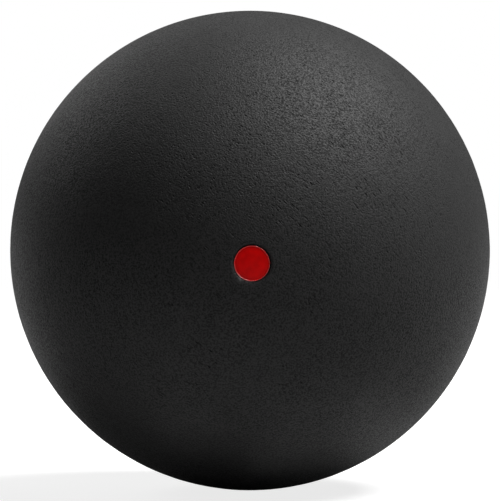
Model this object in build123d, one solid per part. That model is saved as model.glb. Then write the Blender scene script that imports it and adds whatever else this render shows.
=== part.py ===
from build123d import *

import os
from math import asin, atan2, cos, degrees, hypot, radians, sin, sqrt

# Squash ball, built as it is made: two moulded rubber half shells with ground rims, the cured adhesive
# that bonds them, and a dot of paint in a shallow seat at the pole of the front half.
# Millimetres. The origin is the ball's centre, +Z is up, the dot faces -Y and the seam is in the XZ plane.
# The ball's axis is Y: the seat is round about it, and half sections are drawn with Y as their height.

# The ball
ball_diameter = 40.0
wall_thickness = 5.2

# The seam between the halves
bond_thickness = 0.12
bond_setback = 0.06
rim_round = 0.1
inner_bevel = 0.6
bead_rise = 0.25

# The dot, stamped a little to the left of the ball's axis and below it, and its seat
dot_diameter = 2.85
dot_left = 0.042
dot_below = 0.042
dot_edge = 0.195
dot_crown = 0.085
dot_rim = 0.045
seat_gap = 0.02
seat_depth = 0.35
seat_mouth_width = 0.28
seat_mouth_slope = 38.0

# Worked out from the sizes above
outer_radius = ball_diameter / 2
inner_radius = outer_radius - wall_thickness
inner_pole = (0, -inner_radius)
rim_height = bond_thickness / 2
bevel_height = rim_height + inner_bevel
seat_floor = outer_radius - seat_depth
seat_radius = dot_diameter / 2 + hypot(dot_left, dot_below) + seat_gap


def width_at(radius, height):
    """How far a sphere's surface is from the ball's axis, at a height along that axis."""
    return sqrt(radius**2 - height**2)


rim_radius = width_at(outer_radius, rim_height)
bevel_foot = width_at(inner_radius, bevel_height)
bevel_top = bevel_foot + inner_bevel


def arc_about(centre, start, end):
    """The arc about a centre between two points of a half section."""
    first = degrees(atan2(start[1] - centre[1], start[0] - centre[0]))
    last = degrees(atan2(end[1] - centre[1], end[0] - centre[0]))
    return CenterArc(centre, hypot(start[0] - centre[0], start[1] - centre[1]), first, last - first)


def round_corner(section, corner, radius):
    """Rounds the corner of a half section that is nearest to a point."""
    nearest = section.vertices().sort_by_distance((*corner, 0))[0]
    return fillet(nearest, radius)


def turn(section):
    """The solid that a half section makes when it is turned about the ball's axis."""
    return revolve(section, Axis.Y, 360)


def shell_section(pole_line, outer_start):
    """Half section of the shell on the -Y side. The pole line leads from the inner pole to the outer start."""
    middle = (0, 0)
    outer_rim = (rim_radius, -rim_height)
    top = (bevel_top, -rim_height)
    foot = (bevel_foot, -bevel_height)
    outline = pole_line + arc_about(middle, outer_start, outer_rim)
    outline += Polyline(outer_rim, top, foot)
    outline += arc_about(middle, foot, inner_pole)
    return round_corner(make_face(outline), outer_rim, rim_round)


def front_half_shell():
    """The half with the dot's seat: a flat-floored round sinking, with a mouth that runs out into the skin."""
    mouth_turn = asin((seat_radius + seat_mouth_width) / outer_radius)
    slope = radians(seat_mouth_slope)
    mouth_round = seat_mouth_width / (sin(mouth_turn) + sin(slope))
    mouth = (outer_radius * sin(mouth_turn), -outer_radius * cos(mouth_turn))
    centre = (mouth[0] - mouth_round * sin(mouth_turn), mouth[1] + mouth_round * cos(mouth_turn))
    wall_top = (seat_radius, centre[1] - mouth_round * cos(slope))
    pole_line = Polyline(inner_pole, (0, -seat_floor), (seat_radius, -seat_floor), wall_top)
    pole_line += arc_about(centre, wall_top, mouth)
    return turn(shell_section(pole_line, mouth))


def rear_half_shell():
    """The plain half, on the +Y side of the seam."""
    outer_pole = (0, -outer_radius)
    return mirror(turn(shell_section(Polyline(inner_pole, outer_pole), outer_pole)), about=Plane.XZ)


def seam_adhesive():
    """The bond between the rims, a little short of the surface, and the bead that fills the inner bevels."""
    film_edge = rim_radius - bond_setback
    front_foot = (bevel_foot, -bevel_height)
    rear_foot = (bevel_foot, bevel_height)
    outline = ThreePointArc(front_foot, (bevel_foot - bead_rise, 0), rear_foot)
    outline += Polyline(
        rear_foot,
        (bevel_top, rim_height),
        (film_edge, rim_height),
        (film_edge, -rim_height),
        (bevel_top, -rim_height),
        front_foot,
    )
    return turn(make_face(outline))


def speed_dot():
    """The paint, flat on the floor of its seat, crowned on top, with the raised round rim that it dries to."""
    dot_radius = dot_diameter / 2
    edge_top = seat_floor + dot_edge
    crown_edge = dot_radius - 2 * dot_rim
    chord = crown_edge / 2
    crown_radius = (crown_edge**2 + dot_crown**2) / (2 * dot_crown)
    crown_centre = edge_top + dot_crown - crown_radius
    crown_middle = (chord, -(crown_centre + width_at(crown_radius, chord)))
    apex = (0, -(edge_top + dot_crown))
    shoulder = (dot_radius, -edge_top)
    rim_top = (dot_radius - dot_rim, -(edge_top + dot_rim))
    rim_foot = (crown_edge, -edge_top)
    outline = Polyline(apex, (0, -seat_floor), (dot_radius, -seat_floor), shoulder)
    outline += ThreePointArc(shoulder, rim_top, rim_foot)
    outline += ThreePointArc(rim_foot, crown_middle, apex)
    return Pos(-dot_left, 0, -dot_below) * turn(make_face(outline))


nodes = {
    "front_half_shell": front_half_shell(),
    "rear_half_shell": rear_half_shell(),
    "seam_adhesive": seam_adhesive(),
    "speed_dot": speed_dot(),
}

os.makedirs("parts", exist_ok=True)
for name, solid in nodes.items():
    export_step(solid, f"parts/{name}.step")
    print(f"{name}: {solid.volume:.2f} cubic mm")
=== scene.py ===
# %% [markdown]
# # A squash ball, dressed in Blender
#
# The ball is two moulded rubber halves, bonded at a seam, tumbled until the skin is matt, and stamped
# with one red dot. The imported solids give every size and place. This lesson builds the looks on them: a
# skin with real grain, the shallow seat of the dot, the paint in it, the hairline seam, and the light
# that shows them.

# %% Load the frame
import math

import bpy
import numpy as np
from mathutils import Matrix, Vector


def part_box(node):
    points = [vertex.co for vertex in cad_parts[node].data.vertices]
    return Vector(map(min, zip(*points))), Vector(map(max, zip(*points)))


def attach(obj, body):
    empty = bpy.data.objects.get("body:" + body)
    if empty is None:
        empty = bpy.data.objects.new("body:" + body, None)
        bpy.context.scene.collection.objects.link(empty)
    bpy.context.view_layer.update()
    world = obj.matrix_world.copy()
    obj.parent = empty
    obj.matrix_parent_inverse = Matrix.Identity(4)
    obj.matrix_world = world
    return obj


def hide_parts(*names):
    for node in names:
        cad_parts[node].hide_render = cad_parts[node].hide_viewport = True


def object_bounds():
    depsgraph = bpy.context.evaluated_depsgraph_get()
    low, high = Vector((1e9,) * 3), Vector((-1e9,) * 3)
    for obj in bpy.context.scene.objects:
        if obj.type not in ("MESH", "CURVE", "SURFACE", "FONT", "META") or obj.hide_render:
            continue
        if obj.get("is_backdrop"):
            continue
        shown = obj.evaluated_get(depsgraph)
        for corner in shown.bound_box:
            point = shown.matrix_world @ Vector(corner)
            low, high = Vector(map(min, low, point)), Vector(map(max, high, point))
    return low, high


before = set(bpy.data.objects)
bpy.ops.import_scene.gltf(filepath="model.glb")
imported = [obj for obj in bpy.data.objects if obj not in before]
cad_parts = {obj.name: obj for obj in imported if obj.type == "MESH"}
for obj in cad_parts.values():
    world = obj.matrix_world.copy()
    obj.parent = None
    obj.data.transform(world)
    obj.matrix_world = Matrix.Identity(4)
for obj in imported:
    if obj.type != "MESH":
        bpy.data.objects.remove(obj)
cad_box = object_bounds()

print("solids:", sorted(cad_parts))

# %% [markdown]
# ## Sizes of the halves and the bond
#
# Nothing is measured twice: if the solids change, the looks follow. The outside and the air chamber are
# the farthest and nearest points of the rear half from the ball's centre. Its rim is its lowest ring, and
# the bead is the innermost ring of the bond.

# %% Read the halves and the bond
mm = 0.001
same_height = 0.002 * mm


def cad_points(node):
    """The corner points of a solid, as rows of x, y and z in metres."""
    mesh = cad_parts[node].data
    flat = np.empty(len(mesh.vertices) * 3, np.float32)
    mesh.vertices.foreach_get("co", flat)
    return flat.reshape(-1, 3).astype(float)


def girths(points):
    """How far each point is from the ball's Y axis."""
    return np.hypot(points[:, 0], points[:, 2])


def girths_at(points, height):
    """The girths of the points at one height along Y."""
    return girths(points[np.abs(points[:, 1] - height) < same_height])


rear_points = cad_points("rear_half_shell")
reach = np.linalg.norm(rear_points, axis=1)
ball_radius = reach.max()
chamber_radius = reach.min()
rim_height = rear_points[:, 1].min()
rim_girths = girths_at(rear_points, rim_height)
rim_inside = rim_girths.min()
rim_outside = rim_girths.max()

bond_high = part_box("seam_adhesive")[1]
bond_radius = bond_high.x
bead_height = bond_high.y
bead_foot = math.sqrt(chamber_radius**2 - bead_height**2)
bead_rise = bead_foot - girths(cad_points("seam_adhesive")).min()
print(f"ball {ball_radius / mm:.2f} mm, chamber {chamber_radius / mm:.2f} mm, bead {bead_rise / mm:.2f} mm")

# %% [markdown]
# ## Sizes of the dot and its seat
#
# The dot was stamped a hair off the middle of its seat, so its own middle comes from its box. Its ridge
# is half round, so the ridge's radius is how far it stands above the edge of the paint. The seat's floor
# is the back of the dot, and the soft mouth ends where the front half first reaches the full radius.

# %% Read the dot and its seat


def heights_at(points, girth, tolerance=same_height):
    """How far out along the dot's axis the points at one girth are."""
    return -points[np.abs(girths(points) - girth) < tolerance, 1]


dot_low, dot_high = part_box("speed_dot")
dot_middle = ((dot_low.x + dot_high.x) / 2, (dot_low.z + dot_high.z) / 2)
dot_radius = (dot_high.x - dot_low.x) / 2
near_edge = 0.1 * dot_radius
dot_points = cad_points("speed_dot") - (dot_middle[0], 0, dot_middle[1])
crown_top = heights_at(dot_points, 0).max()
paint_edge = heights_at(dot_points, dot_radius).max()
dot_rim = heights_at(dot_points, dot_radius, near_edge).max() - paint_edge

front_points = cad_points("front_half_shell")
seat_floor = -dot_high.y
seat_radius = girths_at(front_points, -seat_floor).max()
wall_top = heights_at(front_points, seat_radius).max()
on_ball = np.linalg.norm(front_points, axis=1) > ball_radius - same_height
mouth_radius = girths(front_points[on_ball]).min()
mouth_height = math.sqrt(ball_radius**2 - mouth_radius**2)
print(f"dot {dot_radius / mm:.3f} mm, seat {seat_radius / mm:.3f} mm, mouth {mouth_radius / mm:.3f} mm")

# %% [markdown]
# ## The camera
#
# A round ball hides how the camera stood, but its dot does not: it sits a little under the middle of the
# outline, so the camera looked down by about three degrees. From so near, the camera sees a little less
# than half of the ball, so the lens is worked out from the cone of lines that touch the ball, and not
# from its diameter.

# %% Place the camera
photo_width_px = 500
outline_radius_px = 239.84
dot_below_middle_px = 13.02
dot_right_of_middle_px = 1.88
camera_distance = 0.42
sensor_width_mm = 36.0

cone = math.sqrt(camera_distance**2 - ball_radius**2)
dot_nearness = cone / (camera_distance - ball_radius)
pole_radius_px = outline_radius_px * dot_nearness
tilt = math.asin(dot_below_middle_px / pole_radius_px) + math.asin(dot_middle[1] / ball_radius)
turn = math.asin(dot_middle[0] / ball_radius) - math.asin(dot_right_of_middle_px / pole_radius_px)
towards_camera = Vector((
    math.sin(turn) * math.cos(tilt),
    -math.cos(turn) * math.cos(tilt),
    math.sin(tilt),
))

camera = bpy.data.objects.new("camera", bpy.data.cameras.new("camera"))
bpy.context.scene.collection.objects.link(camera)
bpy.context.scene.camera = camera
camera.location = towards_camera * camera_distance
camera.rotation_mode = "QUATERNION"
camera.rotation_quaternion = (-towards_camera).to_track_quat("-Z", "Y")
camera.data.sensor_fit = "HORIZONTAL"
camera.data.sensor_width = sensor_width_mm
camera.data.lens = sensor_width_mm * outline_radius_px * cone / (ball_radius * photo_width_px)
print(f"lens {camera.data.lens:.0f} mm, looking down {math.degrees(tilt):.2f} degrees")

# %% [markdown]
# ## Turning a skin: lacing the rings
#
# Every piece here is round about the ball's Y axis or, for the dot, about a line just beside it, so each
# could be a profile with a Screw modifier. A screw gives every ring the same number of points, which
# crowds them at the pole, just where the dot is. Here each ring gets as many points as its girth needs,
# and neighbouring rings are laced with triangles: at each step the lace goes on along the ring whose next
# point comes first.

# %% Lace two rings


def lace(ring, following):
    """Triangles between two rings, each given as its first point's number, its count and its first angle."""
    first_a, count_a, angle_a = ring
    first_b, count_b, angle_b = following
    a = 0
    b = 0
    faces = []
    while a < count_a or b < count_b:
        next_a = angle_a + (a + 1) / count_a if a < count_a else math.inf
        next_b = angle_b + (b + 1) / count_b if b < count_b else math.inf
        corner_a = first_a + a % count_a
        corner_b = first_b + b % count_b
        if count_b == 1 or (count_a > 1 and next_a <= next_b):
            if a == count_a:
                break
            faces.append((corner_a, first_a + (a + 1) % count_a, corner_b))
            a += 1
        else:
            if b == count_b:
                break
            faces.append((corner_a, first_b + (b + 1) % count_b, corner_b))
            b += 1
    return faces


print("a ring of 6 points and one of 9 take", len(lace((0, 6, 0), (6, 9, 0))), "triangles")

# %% [markdown]
# ## Turning a skin: from a profile to a mesh
#
# A profile is a list of rows, one for each ring: how far the ring is from the axis, how far along it, and
# how far apart its points are. Each ring is turned on by a golden share of its step, so that no line of
# points runs from ring to ring. A side of -1 puts the piece in front of the seam, and 1 puts it behind.

# %% Turn a profile
golden = (math.sqrt(5) - 1) / 2


def turned(name, profile, side, closed=False, middle=(0, 0)):
    """A piece turned from the rows of a profile about Y, or about a line beside it through middle."""
    points = []
    rings = []
    for number, (girth, height, spacing) in enumerate(profile):
        count = max(1, round(2 * math.pi * girth / spacing))
        start = (number * golden % 1) / count
        rings.append((len(points), count, start))
        for step in range(count):
            angle = 2 * math.pi * (start + step / count)
            across = middle[0] + girth * math.cos(angle)
            up = middle[1] + girth * math.sin(angle)
            points.append((across, side * height, up))
    faces = []
    followers = rings[1:] + rings[:1] if closed else rings[1:]
    for ring, following in zip(rings, followers):
        faces += lace(ring, following)
    mesh = bpy.data.meshes.new(name)
    mesh.from_pydata(points, [], faces)
    if side > 0:
        mesh.flip_normals()
    mesh.shade_smooth()
    piece = bpy.data.objects.new(name, mesh)
    bpy.context.scene.collection.objects.link(piece)
    print(f"{name}: {len(points)} points, {len(faces)} triangles")
    return piece


print(f"each ring is turned on by {golden:.3f} of its step")

# %% [markdown]
# ## Lines and arcs
#
# Two helpers write the rows of a profile, along a straight line and along an arc. Each leaves out its
# last point, because the next stretch starts there.

# %% Rows of a profile


def straight(start, end, spacing):
    """Profile rows along a straight line, without its last point."""
    count = max(1, round(math.dist(start, end) / spacing))
    rows = []
    for step in range(count):
        share = step / count
        rows.append((
            start[0] + (end[0] - start[0]) * share,
            start[1] + (end[1] - start[1]) * share,
            spacing,
        ))
    return rows


def bend(centre, radius, start, end, spacing, least=3):
    """Profile rows along an arc, from one angle to another in radians, without its last point."""
    count = max(least, round(abs(end - start) * radius / spacing))
    rows = []
    for step in range(count):
        angle = start + (end - start) * step / count
        rows.append((
            centre[0] + radius * math.cos(angle),
            centre[1] + radius * math.sin(angle),
            spacing,
        ))
    return rows


quarter = bend((0, 0), 1 * mm, 0, math.pi / 2, 0.1 * mm)
print("a quarter turn of 1 mm with points 0.1 mm apart has", len(quarter), "rows")

# %% [markdown]
# ## The rubber halves: skin, rim and chamber
#
# A half is a thick cup with a ground rim. Its outline runs from the pole over the skin to the rim, across
# the rim, down the bevel that catches surplus adhesive, and back along the air chamber. Rings on the skin
# are under a fifth of a millimetre apart, so its dimples can be real relief. Inside, where nobody looks,
# they are wide.

# %% Skin, rim and chamber
skin_spacing = 0.176 * mm
lip_spacing = 0.03 * mm
spread_from_lip = 0.35
rim_spacing = 0.6 * mm
rounding_rings = 6
chamber_spacing = 0.9 * mm

edge_round = ball_radius - rim_outside
corner_height = rim_height + edge_round
corner_girth = math.sqrt((ball_radius - edge_round) ** 2 - corner_height**2)
skin_end = math.atan2(corner_height, corner_girth)


def skin_rows(start):
    """Rows over the outside, finer near the start, from an angle above the seam's plane down to the rim."""
    rows = []
    angle = start
    while angle > skin_end:
        gone = (start - angle) * ball_radius
        spacing = min(skin_spacing, lip_spacing + spread_from_lip * gone)
        rows.append((ball_radius * math.cos(angle), ball_radius * math.sin(angle), spacing))
        angle -= spacing / ball_radius
    return rows


def rim_and_chamber():
    """Rows from the skin's last ring across the rim, down the bevel and along the chamber to its pole."""
    corner = (corner_girth, corner_height)
    foot_angle = math.atan2(bead_height, bead_foot)
    rows = bend(corner, edge_round, skin_end, -math.pi / 2, skin_spacing, rounding_rings)
    rows += straight((corner_girth, rim_height), (rim_inside, rim_height), rim_spacing)
    rows += straight((rim_inside, rim_height), (bead_foot, bead_height), rim_spacing)
    rows += bend((0, 0), chamber_radius, foot_angle, math.pi / 2, chamber_spacing)
    rows.append((0, chamber_radius, chamber_spacing))
    return rows


rear_profile = skin_rows(math.pi / 2) + rim_and_chamber()
rear_half = turned("rear_rubber_half", rear_profile, 1)

# %% [markdown]
# ## The rubber halves: the seat of the dot
#
# The front half starts on the floor of the dot's seat instead of at a pole. The tumbling has worn the
# mouth of the seat soft, so an arc leads from the top of its wall into the skin without an edge. Its
# centre lies on the skin's own normal, and that one condition gives its radius.

# %% Seat and front half
seat_spacing = 0.12 * mm


def lip_rows():
    """Rows of the seat: its floor, its wall and the soft mouth, and the angle at which the skin starts."""
    wall = np.array((seat_radius, wall_top))
    mouth = np.array((mouth_radius, mouth_height))
    outward = mouth / ball_radius
    mouth_round = np.sum((mouth - wall) ** 2) / (2 * (ball_radius - wall @ outward))
    centre = mouth - mouth_round * outward
    wall_angle = math.atan2(wall[1] - centre[1], wall[0] - centre[0])
    skin_angle = math.atan2(outward[1], outward[0])
    rows = straight((0, seat_floor), (seat_radius, seat_floor), seat_spacing)
    rows += straight((seat_radius, seat_floor), (seat_radius, wall_top), lip_spacing)
    rows += bend(centre, mouth_round, wall_angle, skin_angle, lip_spacing)
    return rows, skin_angle


seat_rows, skin_start = lip_rows()
front_profile = seat_rows + skin_rows(skin_start) + rim_and_chamber()
front_half = turned("front_rubber_half", front_profile, -1)

# %% [markdown]
# ## Relief of the skin: where it goes
#
# Tumbling leaves the skin uneven. The relief has to fade out at the rim, where the halves meet cleanly,
# and at the lip of the seat, which has a shape of its own. A vertex group does that: it holds how much of
# the relief each point takes.

# %% Group the skin
relief_fade = 0.25 * mm


def skin_group(half, side, seat_edge):
    """A vertex group, full on the skin, that fades out at the rim and, in front, at the seat's edge."""
    flat = np.empty(len(half.data.vertices) * 3, np.float32)
    half.data.vertices.foreach_get("co", flat)
    points = flat.reshape(-1, 3)
    outside = np.linalg.norm(points, axis=1) > ball_radius - same_height
    weight = np.clip((side * points[:, 1] - corner_height) / relief_fade, 0, 1) * outside
    if seat_edge:
        weight *= np.clip((girths(points) - seat_edge) / relief_fade, 0, 1)
    group = half.vertex_groups.new(name="skin")
    for number in np.flatnonzero(weight):
        group.add([int(number)], float(weight[number]), "REPLACE")
    print(f"{half.name}: {np.count_nonzero(weight)} points carry the relief")


skin_group(front_half, -1, mouth_radius)
skin_group(rear_half, 1, None)

# %% [markdown]
# ## Relief of the skin: dimples and unevenness
#
# The skin has shallow dimples about half a millimetre wide, with slow unevenness under them. Both could
# be sculpted, but two Displace modifiers, with textures laid in the ball's own space, are even all over
# and leave the turned mesh under them as it is.

# %% Displace the skin
dimple_size = 0.5 * mm
dimple_depth = 0.012 * mm
uneven_size = 1.6 * mm
uneven_depth = 0.02 * mm
uneven_layers = 2


def displace(half, texture, depth):
    """Moves the skin in and out by a texture in the ball's own space, to a depth in metres."""
    modifier = half.modifiers.new(texture.name, "DISPLACE")
    modifier.texture = texture
    modifier.texture_coords = "LOCAL"
    modifier.direction = "NORMAL"
    modifier.vertex_group = "skin"
    modifier.mid_level = 0.5
    modifier.strength = depth


dimples = bpy.data.textures.new("dimples", "VORONOI")
dimples.noise_scale = dimple_size
unevenness = bpy.data.textures.new("unevenness", "CLOUDS")
unevenness.noise_scale = uneven_size
unevenness.noise_depth = uneven_layers
for half in (front_half, rear_half):
    displace(half, unevenness, uneven_depth)
    displace(half, dimples, dimple_depth)
print(f"dimples {dimple_depth / mm:.3f} mm deep, unevenness {uneven_depth / mm:.3f} mm")

# %% [markdown]
# ## The bond
#
# The adhesive is a thin washer between the rims that stops just short of the surface, with a bead where
# it was squeezed out inside. Its outer edge is what shows as the hairline seam. It is turned as a closed
# loop.

# %% Turn the bond
bond_spacing = 0.5 * mm


def bond_profile():
    """The bond's closed outline, from the film's edge round the bead and back."""
    bead_round = (bead_height**2 + bead_rise**2) / (2 * bead_rise)
    bead_centre = (bead_foot - bead_rise + bead_round, 0)
    opening = math.asin(bead_height / bead_round)
    rows = straight((bond_radius, rim_height), (rim_inside, rim_height), bond_spacing)
    rows += straight((rim_inside, rim_height), (bead_foot, bead_height), bond_spacing)
    rows += bend(bead_centre, bead_round, math.pi - opening, math.pi + opening, bond_spacing)
    rows += straight((bead_foot, -bead_height), (rim_inside, -rim_height), bond_spacing)
    rows += straight((rim_inside, -rim_height), (bond_radius, -rim_height), bond_spacing)
    rows += straight((bond_radius, -rim_height), (bond_radius, rim_height), bond_spacing)
    return rows


bond = turned("seam_bond", bond_profile(), 1, closed=True)

# %% [markdown]
# ## The dot
#
# The paint lies in its seat like a coin in a tray. It dries from the edge, so a fine ridge stands round
# it, with a slight crown inside. The ridge is what draws the bright line round the dot in a photograph:
# one flank of it always faces the light.

# %% Turn the dot
paint_spacing = 0.02 * mm
ridge_spacing = 0.01 * mm
under_spacing = 0.12 * mm
hollow_width = 0.06 * mm
hollow_rings = 6
ridge_meets_hollow = math.radians(150)

ridge_start = dot_radius - 2 * dot_rim


def hollow(start, corner, end):
    """Rows of the smooth hollow between the crown and the ridge, without its last point."""
    rows = []
    for step in range(hollow_rings):
        share = step / hollow_rings
        rows.append((
            (1 - share) ** 2 * start[0] + 2 * share * (1 - share) * corner[0] + share**2 * end[0],
            (1 - share) ** 2 * start[1] + 2 * share * (1 - share) * corner[1] + share**2 * end[1],
            paint_spacing,
        ))
    return rows


def dot_profile():
    """The dot's outline, from the middle of its crown over the ridge, down its edge and along the floor."""
    crown_rise = crown_top - paint_edge
    crown_round = (ridge_start**2 + crown_rise**2) / (2 * crown_rise)
    crown_centre = (0, crown_top - crown_round)
    crown_end = math.acos((ridge_start - hollow_width) / crown_round)
    hollow_start = (ridge_start - hollow_width, crown_centre[1] + crown_round * math.sin(crown_end))
    ridge_centre = (dot_radius - dot_rim, paint_edge)
    hollow_end = (
        ridge_centre[0] + dot_rim * math.cos(ridge_meets_hollow),
        ridge_centre[1] + dot_rim * math.sin(ridge_meets_hollow),
    )
    rows = bend(crown_centre, crown_round, math.pi / 2, crown_end, paint_spacing)
    rows += hollow(hollow_start, (ridge_start, paint_edge), hollow_end)
    rows += bend(ridge_centre, dot_rim, ridge_meets_hollow, 0, ridge_spacing)
    rows += straight((dot_radius, paint_edge), (dot_radius, seat_floor), paint_spacing)
    rows += straight((dot_radius, seat_floor), (0, seat_floor), under_spacing)
    rows.append((0, seat_floor, paint_spacing))
    return rows


dot = turned("red_dot", dot_profile(), -1, middle=dot_middle)

# %% [markdown]
# ## Finishes
#
# A finish is a material whose patterns are laid in the ball's own space, so they need no unwrapping and
# go on over the seam. A few helpers each add one node and set it up, so that a finish reads as a recipe.
# The rubber's is begun here, and the next cells fill it in.

# %% Helpers for a finish


def finish(name):
    """A new material: its node tree, its Principled shader and the ball's own coordinates."""
    material = bpy.data.materials.new(name)
    material.use_nodes = True
    tree = material.node_tree
    shader = tree.nodes["Principled BSDF"]
    space = tree.nodes.new("ShaderNodeTexCoord").outputs["Object"]
    print("finish:", name)
    return material, tree, shader, space


def noise(tree, space, size, detail=2.0, draw=None):
    """A noise with features of about a size in metres. A draw picks another pattern of the same kind."""
    node = tree.nodes.new("ShaderNodeTexNoise")
    if draw is not None:
        node.noise_dimensions = "4D"
        node.inputs["W"].default_value = draw
    node.inputs["Scale"].default_value = 1 / size
    node.inputs["Detail"].default_value = detail
    tree.links.new(space, node.inputs["Vector"])
    return node.outputs["Fac"]


def spread(tree, value, span, result=(0.0, 1.0)):
    """Maps a value from one span to another, held at its ends."""
    node = tree.nodes.new("ShaderNodeMapRange")
    node.inputs["From Min"].default_value, node.inputs["From Max"].default_value = span
    node.inputs["To Min"].default_value, node.inputs["To Max"].default_value = result
    tree.links.new(value, node.inputs["Value"])
    return node.outputs["Result"]


def combine(tree, operation, first, second):
    """One number from two, each a socket or a constant."""
    node = tree.nodes.new("ShaderNodeMath")
    node.operation = operation
    for socket, value in zip(node.inputs, (first, second)):
        if isinstance(value, (int, float)):
            socket.default_value = value
        else:
            tree.links.new(value, socket)
    return node.outputs[0]


rubber, tree, shader, space = finish("black_rubber")

# %% [markdown]
# ### Black rubber: grain
#
# Tumbled rubber is near black with a broad, dull shine. Seen close, a grain a little over a tenth of a
# millimetre wide covers it: flat rubbed tops with narrow dark hollows between them. A fine noise gives
# it, and a span that stops short of its highest values makes the tops flat. A slow second noise makes
# some patches rougher than others.

# %% Grain
grain_size = 0.14 * mm
hollow_span = (0.33, 0.60)
patch_size = 4.0 * mm
patch_draw = 108.0
patch_span = (0.40, 0.62)
patch_grain = (0.50, 0.57)

grain = noise(tree, space, grain_size, detail=1.0)
roughened = spread(tree, noise(tree, space, patch_size, draw=patch_draw), patch_span)
hollows = spread(tree, grain, hollow_span, (1.0, 0.0))
grain_depth = combine(tree, "MULTIPLY", hollows, spread(tree, roughened, (0.0, 1.0), patch_grain))
print(f"grain of {grain_size / mm:.3f} mm in patches of {patch_size / mm:.0f} mm")

# %% [markdown]
# ### Black rubber: pits and strokes
#
# Between the grain are pits, most of them in the rough patches, and in places the skin is scuffed by
# short strokes that all lean one way. Both are Voronoi cells, of which only some are kept: each cell
# draws a tone of its own, and a steep span lets only the high ones through. For the strokes the space is
# drawn out first.

# %% Pits and strokes
pit_spacing = 0.20 * mm
pit_reach = (0.08, 0.40)
pit_draw_span = (0.50, 0.75)
pits_in_patches = (0.6, 1.0)
stroke_lean = 45
stroke_length = 0.66 * mm
stroke_width = 0.20 * mm
stroke_reach = (0.15, 0.42)
stroke_draw_span = (0.62, 0.72)
scuff_size = 3.2 * mm
scuff_draw = 9.0
scuff_span = (0.42, 0.58)


def cells(tree, space, size):
    """Scattered points about a size apart: the distance from the nearest, and a tone drawn for that one."""
    node = tree.nodes.new("ShaderNodeTexVoronoi")
    node.inputs["Scale"].default_value = 1 / size
    tree.links.new(space, node.inputs["Vector"])
    return node.outputs["Distance"], node.outputs["Color"]


def drawn_out(tree, space, lean, length, width):
    """Space turned about Y by a lean in degrees and drawn out, so that cells in it become short strokes."""
    node = tree.nodes.new("ShaderNodeMapping")
    node.vector_type = "TEXTURE"
    node.inputs["Rotation"].default_value = (0, math.radians(lean), 0)
    node.inputs["Scale"].default_value = (length, width, width)
    tree.links.new(space, node.inputs["Vector"])
    return node.outputs["Vector"]


pit_distance, pit_draw = cells(tree, space, pit_spacing)
pit_share = spread(tree, roughened, (0.0, 1.0), pits_in_patches)
pit_kept = combine(tree, "MULTIPLY", spread(tree, pit_draw, pit_draw_span), pit_share)
pits = combine(tree, "MULTIPLY", spread(tree, pit_distance, pit_reach, (1.0, 0.0)), pit_kept)

stroke_space = drawn_out(tree, space, stroke_lean, stroke_length, stroke_width)
stroke_distance, stroke_draw = cells(tree, stroke_space, 1)
scuffed = spread(tree, noise(tree, space, scuff_size, detail=1.0, draw=scuff_draw), scuff_span)
stroke_kept = combine(tree, "MULTIPLY", spread(tree, stroke_draw, stroke_draw_span), scuffed)
strokes = combine(tree, "MULTIPLY", spread(tree, stroke_distance, stroke_reach, (1.0, 0.0)), stroke_kept)
marks = combine(tree, "MAXIMUM", pits, strokes)
print(f"pits {pit_spacing / mm:.2f} mm apart, strokes {stroke_length / mm:.2f} mm long")

# %% [markdown]
# ### Black rubber: the painted highlight on the lip
#
# Low on its left, the lip of the dot's seat is painted a paler grey, a painted highlight where the lip
# faces the key light. The mask for it is 1 at a place on the lip, falls off along the lip and away from
# it, and is broken up by a fine noise. It is a function, because the paint's ridge needs it too.

# %% Painted highlight on the lip
# Where the painted highlight on the lip lies, how far it reaches and how it is broken up.
lip_highlight_turn = 232
lip_highlight_reach = 1.4 * mm
lip_highlight_width = 0.45 * mm
lip_highlight_grain = 0.2 * mm
lip_highlight_span = (0.35, 0.60)

lip_highlight_place = (
    seat_radius * math.cos(math.radians(lip_highlight_turn)),
    -wall_top,
    seat_radius * math.sin(math.radians(lip_highlight_turn)),
)


def from_dot_axis(tree, space):
    """How far a place is from the dot's own axis, in metres."""
    across = tree.nodes.new("ShaderNodeVectorMath")
    across.operation = "MULTIPLY_ADD"
    across.inputs[1].default_value = (1, 0, 1)
    across.inputs[2].default_value = (-dot_middle[0], 0, -dot_middle[1])
    tree.links.new(space, across.inputs[0])
    length = tree.nodes.new("ShaderNodeVectorMath")
    length.operation = "LENGTH"
    tree.links.new(across.outputs["Vector"], length.inputs[0])
    return length.outputs["Value"]


def painted_lip_highlight(tree, space):
    """How much painted highlight a place takes, from 0 to 1: most at one place on the lip, none off the lip.
    """
    distance = tree.nodes.new("ShaderNodeVectorMath")
    distance.operation = "DISTANCE"
    distance.inputs[1].default_value = lip_highlight_place
    tree.links.new(space, distance.inputs[0])
    nearness = spread(tree, distance.outputs["Value"], (0.0, lip_highlight_reach), (1.0, 0.0))
    lip = (seat_radius, seat_radius + lip_highlight_width)
    on_lip = spread(tree, from_dot_axis(tree, space), lip, (1.0, 0.0))
    broken = spread(tree, noise(tree, space, lip_highlight_grain), lip_highlight_span)
    return combine(tree, "MULTIPLY", combine(tree, "MULTIPLY", nearness, on_lip), broken)


lip_highlight = painted_lip_highlight(tree, space)
print("the scuff lies at", [round(part / mm, 2) for part in lip_highlight_place], "mm")

# %% [markdown]
# ### Black rubber: tone and height
#
# The grain, the marks and a slow mottle come together here. The skin is 1 on a rubbed top and less in a
# hollow, and a mark leaves only a part of it. One pattern then drives colour, shine and relief, as it
# does on the real ball; in the colour, the darkness of hollows and pits is partly painted shade.

# %% Tone and height of the skin
mark_left = 0.3
mark_depth = 0.9
mottle_size = 2.5 * mm
mottle_span = (0.3, 0.7)
mottle_tone = (0.88, 1.0)

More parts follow.
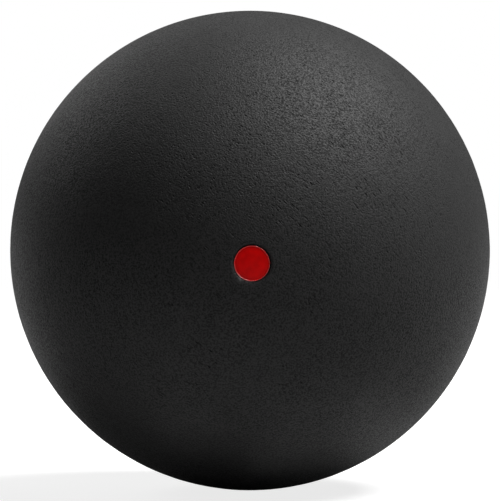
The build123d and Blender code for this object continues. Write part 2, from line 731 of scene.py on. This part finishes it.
unmarked = spread(tree, marks, (0.0, 1.0), (1.0, mark_left))
skin = combine(tree, "MULTIPLY", combine(tree, "SUBTRACT", 1.0, grain_depth), unmarked)
mottle = spread(tree, noise(tree, space, mottle_size, detail=3.0), mottle_span, mottle_tone)
# The tone is darker in hollows and pits: partly dust and marks, partly painted shade of the cavities.
tone = combine(tree, "MULTIPLY", skin, mottle)
skin_height = combine(tree, "SUBTRACT", grain, combine(tree, "MULTIPLY", marks, mark_depth))
print(f"a mark leaves {mark_left:.0%} of the skin, in a mottle of {mottle_size / mm:.1f} mm")

# %% [markdown]
# ### Black rubber: colour, shine and relief
#
# The high spots of the skin are rubbed, so they are a little greyer and smoother. The low ones are rougher
# and darker, partly from dust and partly as painted shade of the hollows and pits. Most of the contrast
# comes from the shine. A faint bloom lies on all of it and shows only at a grazing angle, which is what
# the shader's sheen is for.

# %% Black rubber
deepest_black = (0.0, 0.0, 0.0)
rubbed_grey = (0.03, 0.03, 0.03)
# The paler grey is a painted highlight on the lower-left lip of the seat.
highlight_grey = (0.12, 0.12, 0.12)
dullest_skin = 0.2
skin_roughness = (1.0, 0.56)
skin_shine = 0.2
bloom = 0.05
bloom_roughness = 0.3
relief_depth = 0.052 * mm


def between(tree, share, dark, light):
    """A colour between two, by a share from 0 to 1. The first may come from another node."""
    node = tree.nodes.new("ShaderNodeMix")
    node.data_type = "RGBA"
    if isinstance(dark, tuple):
        node.inputs["A"].default_value = (*dark, 1)
    else:
        tree.links.new(dark, node.inputs["A"])
    node.inputs["B"].default_value = (*light, 1)
    tree.links.new(share, node.inputs["Factor"])
    return node.outputs["Result"]


def relief(tree, height, depth):
    """A normal bent by a height field whose full range is a depth in metres."""
    node = tree.nodes.new("ShaderNodeBump")
    node.inputs["Strength"].default_value = 1.0
    node.inputs["Distance"].default_value = depth
    tree.links.new(height, node.inputs["Height"])
    return node.outputs["Normal"]


# The skin's colour, darker in hollows and pits partly as painted shade.
rubbed_and_cavity_shaded = between(tree, tone, deepest_black, rubbed_grey)
# Base colour: the skin's colour, turned paler by the painted highlight on the lip.
tree.links.new(between(tree, lip_highlight, rubbed_and_cavity_shaded, highlight_grey), shader.inputs["Base Color"])
tree.links.new(spread(tree, skin, (dullest_skin, 1.0), skin_roughness), shader.inputs["Roughness"])
tree.links.new(relief(tree, skin_height, relief_depth), shader.inputs["Normal"])
shader.inputs["Specular IOR Level"].default_value = skin_shine
shader.inputs["Sheen Weight"].default_value = bloom
shader.inputs["Sheen Roughness"].default_value = bloom_roughness
for half in (front_half, rear_half):
    half.data.materials.append(rubber)
print("black rubber has", len(tree.nodes), "nodes")

# %% [markdown]
# ### Cured adhesive
#
# Rubber solution dries a little browner and shinier than the halves, and it is never quite even. One
# noise is enough for its colour, its shine and its skin.

# %% Cured adhesive
dry_brown = (0.012, 0.010, 0.009)
wet_brown = (0.03, 0.026, 0.022)
adhesive_patch = 0.8 * mm
adhesive_span = (0.2, 0.8)
adhesive_roughness = (0.45, 0.7)
adhesive_relief = 0.02 * mm

adhesive, tree, shader, space = finish("cured_adhesive")
patches = noise(tree, space, adhesive_patch, detail=3.0)
tree.links.new(between(tree, patches, dry_brown, wet_brown), shader.inputs["Base Color"])
tree.links.new(spread(tree, patches, adhesive_span, adhesive_roughness), shader.inputs["Roughness"])
tree.links.new(relief(tree, patches, adhesive_relief), shader.inputs["Normal"])
bond.data.materials.append(adhesive)
print("cured adhesive has", len(tree.nodes), "nodes")

# %% [markdown]
# ### Red paint: the face
#
# The paint is an opaque enamel, a deeper red in patches and in a ring just inside its ridge.
# Every hit on the wall rubs its face, so the face is satin. A gloss that is even over a surface belongs
# on the shader's own socket, so the face and the ridge are two finishes that share one helper.

# %% Face of the paint
deep_red = (0.50, 0.002, 0.002)
thick_red = (0.83, 0.003, 0.003)
paint_patch = 0.8 * mm
paint_span = (0.3, 0.7)
paint_cover = (0.5, 1.0)
paint_relief = 0.004 * mm
dark_ring_width = 0.4 * mm
edge_cover = 0.4
face_roughness = (0.32, 0.38)
face_shine = 0.08


def enamel(name, roughness, shine):
    """A finish of enamel, still without its colour, and the noise of its patches."""
    material, tree, shader, space = finish(name)
    patches = noise(tree, space, paint_patch, detail=3.0)
    tree.links.new(spread(tree, patches, paint_span, roughness), shader.inputs["Roughness"])
    tree.links.new(relief(tree, patches, paint_relief), shader.inputs["Normal"])
    shader.inputs["Specular IOR Level"].default_value = shine
    dot.data.materials.append(material)
    return tree, shader, space, patches


tree, shader, space, patches = enamel("red_paint", face_roughness, face_shine)
# The face turns darker in a ring just inside the ridge.
dark_ring = (ridge_start - dark_ring_width, ridge_start)
darker_near_ridge = spread(tree, from_dot_axis(tree, space), dark_ring, (1.0, edge_cover))
cover = combine(tree, "MULTIPLY", spread(tree, patches, paint_span, paint_cover), darker_near_ridge)
tree.links.new(between(tree, cover, deep_red, thick_red), shader.inputs["Base Color"])
print("the face has", len(tree.nodes), "nodes")

# %% [markdown]
# ### Red paint: the ridge
#
# The ridge keeps its gloss, and that is where the bright line round the dot comes from. Its red is paler
# and pinker than the face's, partly its own colour and partly a painted reflection of that line. Low on
# the left, where the lip has its painted highlight, the ridge takes a painted pale pink highlight too.
# Each triangle takes its finish by its distance from the dot's axis.

# %% Ridge of the paint
# The ridge's pinker red is partly a painted reflection, and the pale pink is a painted highlight.
ridge_red_with_painted_reflection = (0.66, 0.018, 0.018)
highlight_pink = (0.80, 0.30, 0.28)
ridge_roughness = (0.24, 0.28)
ridge_shine = 1.0

tree, shader, space, _ = enamel("red_paint_ridge", ridge_roughness, ridge_shine)
# Pale pink on the lower left of the ridge is a painted highlight.
tree.links.new(between(tree, painted_lip_highlight(tree, space), ridge_red_with_painted_reflection, highlight_pink), shader.inputs["Base Color"])
flat = np.empty(len(dot.data.polygons) * 3, np.float32)
dot.data.polygons.foreach_get("center", flat)
face_middles = flat.reshape(-1, 3) - (dot_middle[0], 0, dot_middle[1])
on_ridge = girths(face_middles) > ridge_start
dot.data.polygons.foreach_set("material_index", on_ridge.astype(np.int32))
print(f"{np.count_nonzero(on_ridge)} of {len(on_ridge)} triangles of the dot are glossy")

# %% [markdown]
# ## Join the pieces to the solids
#
# Each mesh stands for one solid, which is hidden, and rides on the ball's only body. Its finish was put on
# above.

# %% Ride and replace
for piece, node, slot in (
    (front_half, "front_half_shell", "black_rubber"),
    (rear_half, "rear_half_shell", "black_rubber"),
    (bond, "seam_adhesive", "cured_adhesive"),
    (dot, "speed_dot", "red_paint"),
):
    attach(piece, "root")
    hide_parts(node)
    print(f"{piece.name} stands for {node}")

# %% [markdown]
# ## The floor
#
# A pale card lies under the ball and fades out before its edge shows. It has two jobs that pull apart. As
# a backdrop it should look white, and as a reflector it should be only grey, or the ball's underside
# would lose its depth. So the card is grey, and a little glow that only the camera sees lifts it to
# white.

# %% Floor
floor_reach = 0.5
floor_grey = 0.4
floor_glow = 0.8
fade_span = (0.12, 0.30)

corners = []
for across, along in ((-1, -1), (1, -1), (1, 1), (-1, 1)):
    corners.append((across * floor_reach, along * floor_reach, 0))
floor_mesh = bpy.data.meshes.new("floor")
floor_mesh.from_pydata(corners, [], [(0, 1, 2, 3)])
floor = bpy.data.objects.new("floor", floor_mesh)
bpy.context.scene.collection.objects.link(floor)
floor.location.z = -ball_radius
floor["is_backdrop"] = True

pale_card, tree, shader, space = finish("pale_card")
shader.inputs["Base Color"].default_value = (floor_grey, floor_grey, floor_grey, 1)
shader.inputs["Roughness"].default_value = 1.0
shader.inputs["Specular IOR Level"].default_value = 0.0
shader.inputs["Emission Color"].default_value = (1, 1, 1, 1)
from_middle = tree.nodes.new("ShaderNodeVectorMath")
from_middle.operation = "LENGTH"
tree.links.new(space, from_middle.inputs[0])
tree.links.new(spread(tree, from_middle.outputs["Value"], fade_span, (1.0, 0.0)), shader.inputs["Alpha"])
seen = tree.nodes.new("ShaderNodeLightPath").outputs["Is Camera Ray"]
tree.links.new(spread(tree, seen, (0.0, 1.0), (0.0, floor_glow)), shader.inputs["Emission Strength"])
floor.data.materials.append(pale_card)
print(f"floor at {floor.location.z / mm:.1f} mm")

# %% [markdown]
# ## The softboxes
#
# The key is a high softbox to the right, and two weaker ones behind draw the upper outline. A lamp's
# power is its radiance times its area times pi, which keeps the brightness of its reflection the same
# when its size is changed.

# %% Softboxes
lamp_distance = 0.7
softbox_size = 0.4
back_size = 0.25


def panel(name, place, aim, size, radiance):
    """A square lamp at a place that faces another, both in metres, and is not seen by the camera itself."""
    lamp = bpy.data.objects.new(name, bpy.data.lights.new(name, "AREA"))
    bpy.context.scene.collection.objects.link(lamp)
    lamp.location = place
    lamp.rotation_mode = "QUATERNION"
    lamp.rotation_quaternion = (Vector(aim) - Vector(place)).to_track_quat("-Z", "Y")
    lamp.data.shape = "SQUARE"
    lamp.data.size = size
    lamp.data.energy = radiance * math.pi * size**2
    lamp.visible_camera = False
    print(f"{name}: {lamp.data.energy:.4f} W")


def softbox(name, up, turn, size, radiance):
    """A lamp that faces the ball, by its height and its turn in degrees from the camera's side."""
    up = math.radians(up)
    turn = math.radians(turn)
    outward = Vector((math.sin(turn) * math.cos(up), -math.cos(turn) * math.cos(up), math.sin(up)))
    panel(name, outward * lamp_distance, (0, 0, 0), size, radiance)


softbox("key", up=62, turn=90, size=softbox_size, radiance=20.3)
softbox("left_back", up=28, turn=225, size=back_size, radiance=5.3)
softbox("back", up=30, turn=195, size=back_size, radiance=0.9)

# %% [markdown]
# ## The cards of light
#
# Little light comes up from below, and a black ball would lose its lower outline. So small cards of light
# stand low beside it and lie in front of it, as a photographer would place white cards.

# %% Cards of light
card_size = 0.02
floor_card_size = 0.008
above_floor = 0.3 * mm


def floor_card(name, across, along, radiance):
    """A small lamp that lies on the floor and faces up."""
    panel(name, (across, along, above_floor - ball_radius), (across, along, 0), floor_card_size, radiance)


panel("right_card", place=(0.035, 0, -0.014), aim=(0, 0, -0.004), size=card_size, radiance=0.33)
panel("left_card", place=(-0.032, 0.016, -0.006), aim=(0, 0, 0), size=card_size, radiance=0.66)
floor_card("floor_card_right", across=0.014, along=-0.008, radiance=0.73)
floor_card("floor_card_front", across=0.004, along=-0.014, radiance=0.38)
floor_card("floor_card_left", across=-0.008, along=-0.017, radiance=0.65)

# %% [markdown]
# ## The surround
#
# The camera sees a white world, while the ball sees only the lamps and the floor, as in a dark studio
# with a lit backdrop. The Standard view keeps white at white and the red of the dot as it was chosen.

# %% World and colour
world = bpy.data.worlds.new("surround")
bpy.context.scene.world = world
world.use_nodes = True
tree = world.node_tree
background = tree.nodes["Background"]
background.inputs["Color"].default_value = (1, 1, 1, 1)
seen = tree.nodes.new("ShaderNodeLightPath").outputs["Is Camera Ray"]
tree.links.new(seen, background.inputs["Strength"])
bpy.context.scene.view_settings.view_transform = "Standard"
print("view:", bpy.context.scene.view_settings.view_transform)

# %% [markdown]
# ## The two boxes
#
# The looks must not change the ball's size. Both boxes are printed, the solids' own and the dressed
# ball's, and the difference should be a few thousandths of a millimetre of grain.

# %% Print the boxes and finish
boxes = {"cad": [list(corner) for corner in cad_box], "visual": [list(corner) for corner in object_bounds()]}
for label, (low, high) in boxes.items():
    print(label, [round((b - a) / mm, 3) for a, b in zip(low, high)], "mm")
